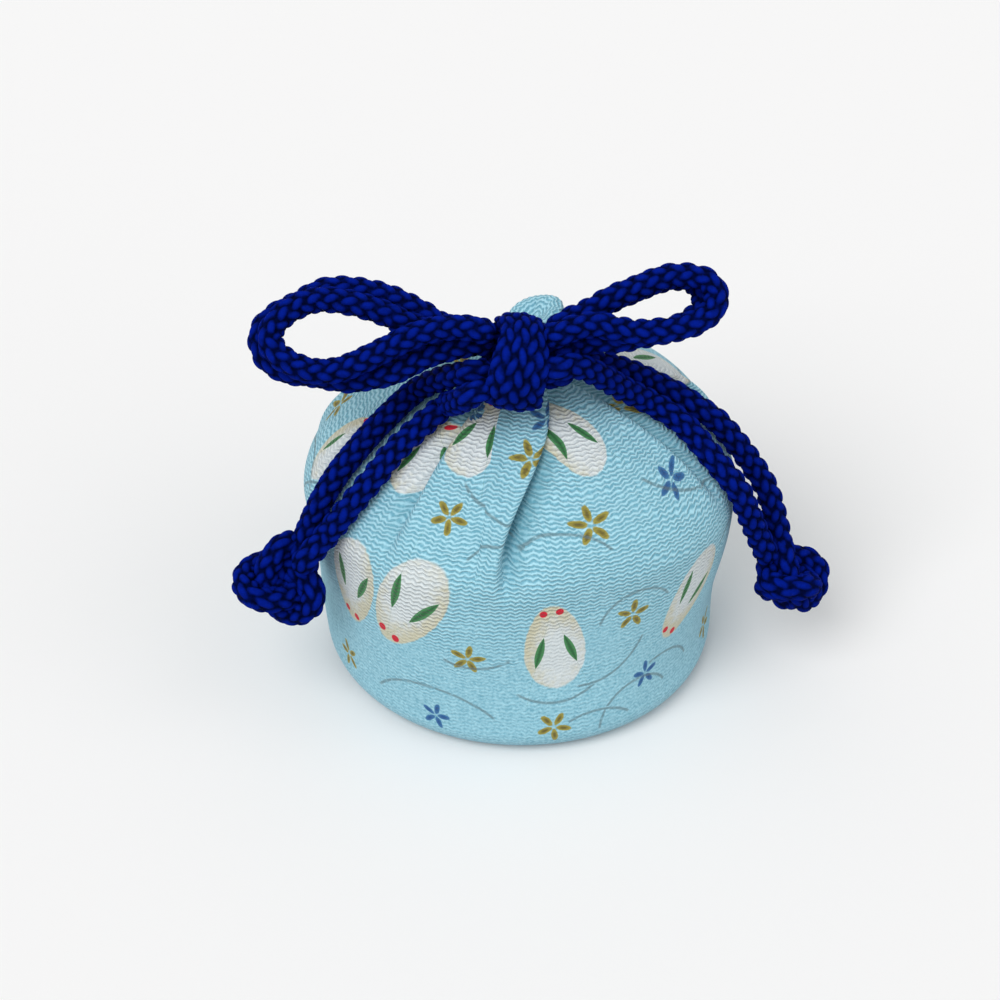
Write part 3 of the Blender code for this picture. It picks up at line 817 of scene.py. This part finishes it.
    def unrolled(self, line: np.ndarray, lengths: np.ndarray, angle: np.ndarray,
                 panel: np.ndarray) -> np.ndarray:
        """Place of each face corner on the unrolled cloth, in millimetres.

        Args:
            line: the half section.
            lengths: its length up to each point.
            angle: angle of each grid point in degrees.
            panel: panel of each column.

        Returns:
            Corner coordinates: round the bag, and up it.
        """
        above = line[:, 1] > self.belly_height
        radius = np.where(above, line[:, 0], self.belly_radius)[:, None]
        edges = np.stack([self.crease_angle(crease, line[:, 0]) for crease in self.creases])
        edges = np.concatenate((edges, edges[:1] + 360.0))
        wrapped = (edges[:-1] + edges[1:]) / 2
        at_belly = np.array([crease.shoulder for crease in self.creases])
        at_belly = np.concatenate((at_belly, at_belly[:1] + 360.0))
        centre_belly = (at_belly[:-1] + at_belly[1:]) / 2
        faces = panel[:-1]
        full = np.concatenate((angle[:, :-1], angle[:, :1] + 360.0), axis=1)
        result = []
        for shift in (0, 1):
            turned = full[:, :-1] if shift == 0 else full[:, 1:]
            offset = np.radians(turned - wrapped[faces].T)
            result.append(np.radians(centre_belly[faces])[None] * self.belly_radius + radius * offset)
        tall = np.broadcast_to(lengths[:, None], result[0].shape)
        both = np.stack((np.stack((result[0], tall), -1), np.stack((result[1], tall), -1)), 2)
        return np.concatenate((both[:-1], both[1:]), axis=2) / MM

    def layout(self, weave: np.ndarray) -> tuple[np.ndarray, np.ndarray]:
        """Give each face the nearest motif's own coordinates.

        Args:
            weave: corner places on the unrolled cloth.

        Returns:
            Corner coordinates within the motif, and each face's kind of motif.
        """
        centre = weave.mean(2)
        best = np.full(centre.shape[:2], 1e9)
        prints = np.zeros_like(weave)
        kinds = np.zeros(centre.shape[:2])
        motifs = [Printed(kind, *row) for kind, rows in (
            (Motif.MOUND, self.mounds), (Motif.GOLD, self.gold_flowers),
            (Motif.BLUE, self.blue_flowers)) for row in rows]
        for motif in motifs:
            far = np.linalg.norm(self.within(motif, centre), axis=-1)
            taken = far < best
            prints = np.where(taken[..., None, None], self.within(motif, weave), prints)
            kinds = np.where(taken, motif.kind.value, kinds)
            best = np.minimum(far, best)
        return prints, np.where(best < self.motif_reach, kinds, Motif.NONE.value)

    def within(self, motif: Printed, places: np.ndarray) -> np.ndarray:
        """Places on the unrolled cloth in a motif's own coordinates.

        Args:
            motif: the motif.
            places: round and up the bag, in millimetres.

        Returns:
            The places across and along the motif, 1 being its edge.
        """
        round_bag = TAU * self.belly_radius / MM
        du = (places[..., 0] - motif.u + round_bag / 2) % round_bag - round_bag / 2
        dv = places[..., 1] - motif.v
        turn = math.radians(motif.turn)
        across = (du * math.cos(turn) + dv * math.sin(turn)) / (motif.size * motif.width)
        return np.stack((across, (dv * math.cos(turn) - du * math.sin(turn)) / motif.size), -1)

    def lines(self, weave: np.ndarray) -> np.ndarray:
        """Distance of each face corner from the nearest printed line, and how far along it is.

        Args:
            weave: corner places on the unrolled cloth.

        Returns:
            Corner coordinates: distance in millimetres with its sign, and share of the line.
        """
        round_bag = TAU * self.belly_radius / MM
        best = np.full(weave.shape[:-1], 9.0)
        share = np.zeros(weave.shape[:-1])
        centre_best = np.full(weave.shape[:2], 9.0)
        for u, v, radius, start, sweep in self.arcs:
            du = (weave[..., 0] - u + round_bag / 2) % round_bag - round_bag / 2
            dv = weave[..., 1] - v
            side = np.hypot(du, dv) - radius
            along = ((np.degrees(np.arctan2(dv, du)) - start + 20.0) % 360.0 - 20.0) / sweep
            inside = (along > -0.1) & (along < 1.1)
            near = np.where(inside, np.abs(side), 9.0).mean(2)
            take = (near < centre_best)[..., None]
            best, share = np.where(take, side, best), np.where(take, along, share)
            centre_best = np.minimum(near, centre_best)
        return np.stack((best, share), -1)


@dataclass(frozen=True)
class Braid:
    """How the cord's strands are plaited: columns of oval lumps; sizes in metres."""

    radius: float = 0.00170
    columns: int = 8
    spacing: float = 0.00232
    lump_length: float = 0.00116
    lump_width: float = 0.00070
    lump_height: float = 0.00044
    tilt: float = 32.0
    around: int = 56
    step: float = 0.00018
    flat: float = 1.0

    def surface(self, angle: np.ndarray, along: np.ndarray) -> tuple[np.ndarray, np.ndarray]:
        """Radius of the plaited surface, and which way the lump on top leans.

        Args:
            angle: angle round the cord in radians.
            along: distance along the cord.

        Returns:
            The radius in metres, and 1 or -1 for the lump's lean.
        """
        width = TAU * self.radius * math.sqrt((1.0 + self.flat ** 2) / 2) / self.columns
        column = angle / TAU * self.columns
        best = np.full(np.broadcast(angle, along).shape, -1.0)
        lean = np.zeros_like(best)
        for near in (-1, 0, 1, 2):
            index = np.floor(column) + near - 0.5
            index = np.floor(index)
            side = (column - index) * width
            parity = np.mod(index, 2)
            sign = 1.0 - 2.0 * parity
            offset = along - parity * self.spacing / 2
            turn = math.radians(self.tilt)
            for shift in (0.0, 1.0):
                reach = offset - (np.floor(offset / self.spacing) + shift) * self.spacing
                ahead = reach * math.cos(turn) + sign * side * math.sin(turn)
                across = side * math.cos(turn) - sign * reach * math.sin(turn)
                dome = 1.0 - (ahead / self.lump_length) ** 2 - (across / self.lump_width) ** 2
                lean = np.where(dome > best, sign, lean)
                best = np.maximum(best, dome)
        lift = np.clip(best, 0.0, 1.0) ** 0.62 * self.lump_height
        return self.radius + 0.0001 - self.lump_height + lift, lean


@dataclass
class Route:
    """A smooth line in space."""

    points: tuple
    closed: bool = False

    def line(self, step: float) -> np.ndarray:
        """Points at even steps.

        Args:
            step: about how far apart they are, in metres.

        Returns:
            The points in metres.
        """
        places = [np.array(point, float) * MM for point in self.points]
        if self.closed:
            padded = [places[-1]] + places + places[:2]
        else:
            padded = [places[0] * 2 - places[1]] + places + [places[-1] * 2 - places[-2]]
        fine = [padded[1]]
        for before, start, end, after in zip(padded, padded[1:], padded[2:], padded[3:]):
            fine += bezier((start, start + (end - before) / 6, end - (after - start) / 6, end), 24)
        fine = np.array(fine)
        lengths = np.concatenate(([0.0], np.cumsum(np.linalg.norm(np.diff(fine, axis=0), axis=1))))
        count = max(8, round(lengths[-1] / step))
        even = np.linspace(0.0, lengths[-1], count + 1)
        return np.stack([np.interp(even, lengths, fine[:, axis]) for axis in range(3)], 1)


def frames_along(line: np.ndarray, closed: bool) -> tuple[np.ndarray, np.ndarray]:
    """Two directions across a line that turn as little as they can.

    Args:
        line: points of the line.
        closed: whether its end meets its start.

    Returns:
        The two directions at each point.
    """
    ahead = np.gradient(line, axis=0)
    if closed:
        ahead[0] = ahead[-1] = line[1] - line[-2]
    ahead /= np.linalg.norm(ahead, axis=1, keepdims=True)
    first = np.cross(ahead[0], (0.0, 0.0, 1.0) if abs(ahead[0][2]) < 0.9 else (1.0, 0.0, 0.0))
    first /= np.linalg.norm(first)
    sides = [first]
    for direction in ahead[1:]:
        side = sides[-1] - direction * np.dot(sides[-1], direction)
        sides.append(side / np.linalg.norm(side))
    sides = np.array(sides)
    ups = np.cross(ahead, sides)
    if closed:
        miss = math.atan2(np.dot(sides[-1], ups[0]), np.dot(sides[-1], sides[0]))
        turn = -miss * np.linspace(0.0, 1.0, len(line))[:, None]
        sides, ups = (sides * np.cos(turn) + ups * np.sin(turn),
                      ups * np.cos(turn) - sides * np.sin(turn))
    return sides, ups


@dataclass
class Cord:
    """One stretch of the braided cord."""

    name: str
    route: Route
    finish: bpy.types.Material
    braid: Braid = field(default_factory=Braid)
    waist: float = 0.0

    def even_angles(self, angle: np.ndarray) -> np.ndarray:
        """Angles that lie evenly round the cord's section, which may be an oval.

        Args:
            angle: even angles from 0 to a full turn.

        Returns:
            The angles on the oval.
        """
        fine = np.linspace(0.0, TAU, 721)
        oval = np.stack((np.cos(fine), self.braid.flat * np.sin(fine)), 1)
        lengths = np.concatenate(([0.0], np.cumsum(np.linalg.norm(np.diff(oval, axis=0), axis=1))))
        return np.interp(angle / TAU * lengths[-1], lengths, fine)

    def build(self) -> tuple[bpy.types.Object, np.ndarray]:
        """Make the plaited skin.

        Returns:
            The finished piece and the line it follows.
        """
        braid = self.braid
        line = self.route.line(braid.step)
        total = float(np.linalg.norm(np.diff(line, axis=0), axis=1).sum())
        along = np.linspace(0.0, total, len(line))[:, None]
        plait = along
        if self.route.closed:
            repeats = max(1, round(total / braid.spacing))
            plait = along * (repeats * braid.spacing / total)
        angle = np.linspace(0.0, TAU, braid.around + 1)[None]
        reach, lay = braid.surface(angle, plait)
        low, high = float(reach.min()), float(reach.max())
        # rise: each lump's height share, which the braid finish turns into painted shade in the valleys.
        rise = (reach - low) / (high - low)
        if not self.route.closed:
            near = np.minimum(along, total - along) / braid.radius
            reach = reach * np.sqrt(np.clip(1.0 - (1.0 - np.clip(near, 0, 1)) ** 2, 0.0, 1.0))
        sides, ups = frames_along(line, self.route.closed)
        turned = self.even_angles(angle[0])[None]
        lap = TAU * along / total
        girth = 1.0 - self.waist * (np.sin(lap) + 0.35 * np.sin(3 * lap + 2.0 * angle))
        places = (line[:, None] + sides[:, None] * (reach * np.cos(turned))[..., None]
                  + ups[:, None] * ((reach + braid.radius * (braid.flat - 1.0)) * girth
                                    * np.sin(turned))[..., None])
        places[:, -1] = places[:, 0]
        if self.route.closed:
            places[-1] = places[0]
        wide = np.broadcast_to(angle * braid.radius / MM, reach.shape)
        tall = np.broadcast_to(plait / MM, reach.shape)
        piece = object_from_grid(self.name, places, {"weave": corner_table(wide, tall)},
                                 {"rise": rise, "lay": lay}, self.finish)
        log.info("%s: %.1f mm of cord, %d faces", self.name, total / MM, len(piece.data.polygons))
        return piece, line


@dataclass
class Tie:
    """The cord that closes the bag: neck turn, bow knot, two loops, four tails, end knots."""

    finish: bpy.types.Material
    diameter: float = 0.0034
    bow_centre: tuple = (-0.5, -7.6, 52.3)
    bow_wrap: float = 4.8
    bow_flat: float = 2.3
    bow_columns: int = 14
    bow_slant: float = 12.0
    bow_waist: float = 0.16
    left_end: tuple = (-32.2, -16.5, 22.5)
    right_end: tuple = (37.4, -6.4, 14.9)
    left_turn: tuple = (50.0, 0.0, 15.0)
    right_turn: tuple = (40.0, 20.0, 70.0)
    left_spin: float = 28.0
    right_spin: float = 40.0
    lobe: float = 1.45
    lobe_rise: float = 1.7
    strand_apart: float = 1.2
    strand_turn: float = 45.0
    neck_centre: tuple = (1.0, 1.9, 46.9)
    neck_turn: float = 5.0
    neck_gap: float = 84.0
    routes: dict = field(default_factory=lambda: {
        "left_loop": (
            (-3.2, -2.9, 51.2), (-5.8, -2.0, 52.0), (-7.6, -1.4, 52.7), (-10.4, -0.9, 53.5),
            (-13.4, -0.0, 55.1), (-17.2, 0.7, 56.8), (-20.1, 0.9, 57.6), (-23.2, 1.0, 58.0),
            (-26.2, 0.9, 57.7), (-29.3, -0.3, 56.5), (-31.9, -1.0, 55.4), (-33.8, -2.1, 54.1),
            (-34.3, -3.4, 52.7), (-33.4, -5.3, 51.2), (-30.8, -6.5, 50.0), (-27.3, -6.8, 49.6),
            (-25.1, -7.2, 49.4), (-22.4, -7.5, 49.2), (-19.6, -7.5, 49.7), (-17.5, -7.5, 50.2),
            (-15.8, -7.2, 50.8), (-12.1, -6.3, 52.4), (-8.3, -5.7, 53.3), (-6.0, -5.4, 53.6),
            (-3.4, -5.2, 53.8)),
        "left_inner_loop": (
            (-6.0, -4.6, 53.0), (-9.0, -4.1, 53.7), (-12.0, -3.9, 54.6), (-14.6, -3.7, 55.5),
            (-15.8, -3.6, 56.0), (-16.8, -3.3, 56.5), (-19.4, -3.0, 57.5), (-22.3, -2.9, 58.4),
            (-26.0, -2.6, 58.7), (-28.8, -3.1, 58.2), (-31.4, -4.5, 57.1), (-32.7, -6.1, 55.5),
            (-32.0, -7.7, 54.1), (-30.0, -8.9, 53.0), (-27.0, -9.7, 52.3), (-24.1, -9.7, 52.4),
            (-22.2, -9.4, 52.9), (-19.9, -8.9, 53.8), (-16.9, -8.2, 55.1), (-15.4, -8.0, 55.9),
            (-13.4, -7.7, 56.7), (-11.1, -7.4, 57.3), (-8.5, -7.2, 57.5), (-5.7, -7.4, 57.3),
            (-3.2, -7.6, 56.6)),
        "right_loop": (
            (2.4, -3.6, 52.4), (4.8, -2.6, 54.0), (5.9, -2.4, 55.0), (7.5, -2.3, 55.8),
            (9.9, -2.2, 57.1), (12.1, -1.5, 58.2), (15.3, -0.7, 59.2), (17.7, -0.3, 60.1),
            (20.1, -0.0, 60.7), (22.3, -0.2, 60.8), (23.9, -0.7, 60.7), (25.2, -1.5, 60.1),
            (25.7, -2.7, 59.2), (25.4, -3.9, 58.4), (24.2, -5.0, 57.6), (22.2, -6.0, 57.0),
            (19.6, -6.5, 56.6), (17.3, -6.7, 56.5), (15.0, -6.9, 56.5), (12.6, -6.7, 56.9),
            (10.0, -6.5, 57.4), (8.3, -6.7, 57.3), (7.0, -7.0, 57.2), (5.6, -7.4, 56.8),
            (3.0, -7.8, 55.8)),
        "right_inner_loop": (
            (3.6, -2.2, 51.6), (6.6, -0.9, 53.0), (9.6, 0.6, 54.5), (12.2, 1.5, 55.9),
            (15.4, 2.3, 57.0), (17.9, 2.8, 57.9), (20.3, 3.0, 58.4), (22.3, 2.7, 58.4),
            (23.7, 1.8, 57.9), (24.3, 0.4, 57.1), (24.1, -1.0, 56.1), (22.8, -2.1, 55.3),
            (21.1, -2.9, 54.7), (19.1, -3.5, 54.3), (17.1, -3.9, 54.1), (15.1, -4.3, 53.9),
            (12.8, -4.9, 53.7), (10.1, -5.1, 53.9), (7.6, -5.2, 53.4), (5.3, -6.3, 52.7),
            (2.9, -6.7, 52.2)),
        "left_rear_tail": (
            (-3.4, -8.0, 51.2), (-6.2, -8.1, 51.0), (-7.2, -7.2, 50.0), (-9.3, -5.4, 48.3),
            (-11.8, -3.1, 45.7), (-14.3, -2.1, 43.4), (-17.2, -4.3, 41.7), (-19.7, -6.6, 40.2),
            (-22.1, -8.9, 38.4), (-24.3, -10.9, 36.4), (-26.4, -12.8, 33.6), (-27.9, -13.6, 30.5),
            (-29.3, -14.8, 27.5), (-30.8, -15.6, 25.4)),
        "left_front_tail": (
            (-3.4, -11.0, 51.0), (-6.2, -12.2, 50.3), (-7.3, -11.1, 48.8), (-8.5, -8.8, 46.5),
            (-9.9, -5.5, 43.7), (-12.0, -7.3, 42.9), (-14.5, -9.3, 41.6), (-17.0, -11.5, 40.1),
            (-18.9, -13.6, 38.5), (-21.0, -15.3, 36.6), (-23.3, -16.6, 34.0), (-25.7, -17.0, 30.7),
            (-27.9, -18.4, 28.6), (-29.8, -18.9, 26.0)),
        "right_rear_tail": (
            (2.6, -6.6, 49.4), (4.9, -6.0, 48.8), (6.4, -4.3, 49.1), (8.7, -2.6, 48.7),
            (12.0, -0.7, 46.8), (15.0, 0.7, 44.7), (17.8, 1.4, 42.7), (21.4, 0.7, 41.0),
            (24.4, -0.2, 39.3), (26.9, -0.6, 37.4), (29.4, -1.2, 34.5), (31.9, -1.7, 30.9),
            (34.0, -2.9, 27.6), (35.2, -3.9, 24.0), (35.9, -4.8, 21.3), (36.5, -5.6, 18.4)),
        "right_front_tail": (
            (2.4, -10.4, 52.6), (4.8, -10.6, 53.3), (6.1, -9.9, 53.2), (7.3, -9.3, 52.8),
            (9.2, -8.0, 51.1), (11.4, -6.4, 48.6), (13.6, -4.7, 45.9), (17.1, -3.0, 42.6),
            (20.6, -3.7, 40.6), (23.1, -5.1, 38.9), (25.3, -7.0, 37.0), (27.5, -8.3, 34.7),
            (29.5, -9.0, 32.1), (31.0, -8.9, 28.2), (32.5, -8.3, 24.1), (33.3, -8.2, 22.0),
            (34.6, -7.6, 18.6)),
    })

    def ring(self, centre: tuple, across: tuple, up: tuple, wide: float, tall: float) -> Route:
        """A closed oval route.

        Args:
            centre: its middle in millimetres.
            across: direction of its width.
            up: direction of its height.
            wide: half its width.
            tall: half its height.

        Returns:
            The route.
        """
        middle, side, rise = (np.array(item, float) for item in (centre, across, up))
        side /= np.linalg.norm(side)
        rise /= np.linalg.norm(rise)
        return Route(tuple(tuple(middle + side * wide * math.cos(TAU * k / 24)
                                 + rise * tall * math.sin(TAU * k / 24)) for k in range(24)), True)

    def end_knot(self, name: str, centre: tuple, turn: tuple, spin: float) -> list[tuple]:
        """A tail's end knot: two cords side by side through three lobes.

        Args:
            name: start of the pieces' names.
            centre: the knot's middle in millimetres.
            turn: turns about x, y and z in degrees.
            spin: turn in the knot's own plane in degrees.

        Returns:
            The pieces and their lines.
        """
        own_turn = Euler((0.0, 0.0, math.radians(spin))).to_matrix()
        lay = np.array(Euler([math.radians(angle) for angle in turn]).to_matrix() @ own_turn)
        lean = math.radians(self.strand_turn)
        strands = []
        for index, side in enumerate((-1.0, 1.0)):
            points = []
            for step in range(48):
                t = TAU * step / 48
                flat = np.array((math.sin(t) + 2 * math.sin(2 * t), math.cos(t) - 2 * math.cos(2 * t)))
                outward = flat / np.linalg.norm(flat) * math.sin(lean)
                shift = np.array((*outward, math.cos(lean))) * side * self.strand_apart
                place = np.array((*flat * self.lobe, -math.sin(3 * t) * self.lobe_rise)) + shift
                points.append(tuple(np.array(centre) + lay @ place))
            strands.append(Cord(f"{name}_strand_{index + 1}", Route(tuple(points), True),
                                self.finish).build())
        return strands

    def build(self) -> dict[str, tuple[bpy.types.Object, np.ndarray]]:
        """Make every stretch of the cord.

        Returns:
            The pieces and their lines by name.
        """
        made = {}
        for name, points in self.routes.items():
            made[name] = Cord(f"braided_{name}", Route(points), self.finish).build()
        slant = math.radians(self.bow_slant)
        ring = self.ring(self.bow_centre, (0, -1, 0), (math.sin(slant), 0, math.cos(slant)),
                         self.bow_wrap, self.bow_wrap)
        broad = Braid(columns=self.bow_columns, around=112, flat=self.bow_flat)
        made["bow"] = Cord("bow_knot_turns", ring, self.finish, broad,
                           waist=self.bow_waist).build()
        for side, *lie in (("left", self.left_end, self.left_turn, self.left_spin),
                           ("right", self.right_end, self.right_turn, self.right_spin)):
            for index, item in enumerate(self.end_knot(f"{side}_tail_knot", *lie)):
                made[f"{side}_knot_{index + 1}"] = item
        points = []
        for step in range(9):
            angle = math.radians(self.neck_gap + (360.0 - 2 * self.neck_gap) * step / 8)
            points.append((self.neck_centre[0] + self.neck_turn * math.sin(angle),
                           self.neck_centre[1] - self.neck_turn * math.cos(angle),
                           self.neck_centre[2]))
        made["neck"] = Cord("braided_neck_turn", Route(tuple(points)), self.finish).build()
        return made

    def declare(self, made: dict[str, tuple[bpy.types.Object, np.ndarray]]) -> None:
        """Attach each piece to the root body and hide the model's own cord parts.

        Args:
            made: the pieces and their lines by name.
        """
        for piece, _ in made.values():
            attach(piece, "root")
        for name in self.routes:
            piece, line = made[name]
            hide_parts(name)
            side = name.split("_")[0]
        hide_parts("neck_turn")
        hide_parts("bow_knot")
        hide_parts("left_end_knot")
        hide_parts("right_end_knot")


@dataclass
class Studio:
    """Floor, light and camera."""

    elevation: float = 38.0
    distance: float = 0.380
    target: tuple = (0.0, 0.0, 0.025)
    lens: float = 98.1
    shift: tuple = (-0.020, -0.010)
    surround: float = 0.55
    # Lamps: name, strength, spread in degrees, and turns in degrees.
    lamps: tuple = (("key", 1.5, 40.0, (42, 0, -35)), ("fill", 0.45, 60.0, (55, 0, 60)))

    def build(self) -> None:
        """Set the whole studio up."""
        self.build_floor()
        self.build_lights()
        self.build_camera()
        settings = bpy.context.scene.view_settings
        settings.view_transform = "Standard"

    def build_floor(self) -> None:
        """Lay a large pale floor under the object."""
        plane = bmesh.new()
        bmesh.ops.create_grid(plane, x_segments=1, y_segments=1, size=3.0)
        mesh = bpy.data.meshes.new("floor")
        plane.to_mesh(mesh)
        plane.free()
        mesh.materials.append(FloorFinish().build())
        floor = bpy.data.objects.new("floor", mesh)
        bpy.context.scene.collection.objects.link(floor)

    def build_lights(self) -> None:
        """Soft key and fill suns in an even pale surround."""
        for name, strength, spread, turn in self.lamps:
            lamp = bpy.data.lights.new(name, "SUN")
            lamp.energy = strength
            lamp.angle = math.radians(spread)
            light = bpy.data.objects.new(name, lamp)
            light.rotation_euler = [math.radians(angle) for angle in turn]
            bpy.context.scene.collection.objects.link(light)
        world = bpy.data.worlds.new("surround")
        world.use_nodes = True
        tree = world.node_tree
        tree.nodes.clear()
        sky = tree.nodes.new("ShaderNodeBackground")
        sky.inputs["Color"].default_value = (1.0, 1.0, 1.0, 1.0)
        sky.inputs["Strength"].default_value = self.surround
        out = tree.nodes.new("ShaderNodeOutputWorld")
        tree.links.new(sky.outputs[0], out.inputs[0])
        bpy.context.scene.world = world

    def build_camera(self) -> None:
        """Look from the photograph's angle."""
        data = bpy.data.cameras.new("camera")
        data.lens = self.lens
        data.sensor_width = 36.0
        data.shift_x, data.shift_y = self.shift
        camera = bpy.data.objects.new("camera", data)
        tilt = math.radians(self.elevation)
        back = Vector((0.0, -math.cos(tilt), math.sin(tilt))) * self.distance
        camera.location = Vector(self.target) + back
        camera.rotation_euler = (math.radians(90.0 - self.elevation), 0.0, 0.0)
        bpy.context.scene.collection.objects.link(camera)
        bpy.context.scene.camera = camera


def main() -> None:
    """Build the dressed sachet and its studio."""
    logging.basicConfig(level=logging.INFO, format="%(name)s: %(message)s")
    Studio().build()
    pouch = Pouch(CrepeFinish().build()).build()
    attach(pouch, "root")
    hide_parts("pouch_cloth")
    tie = Tie(BraidFinish().build())
    tie.declare(tie.build())


if __name__ == "__main__":
    main()
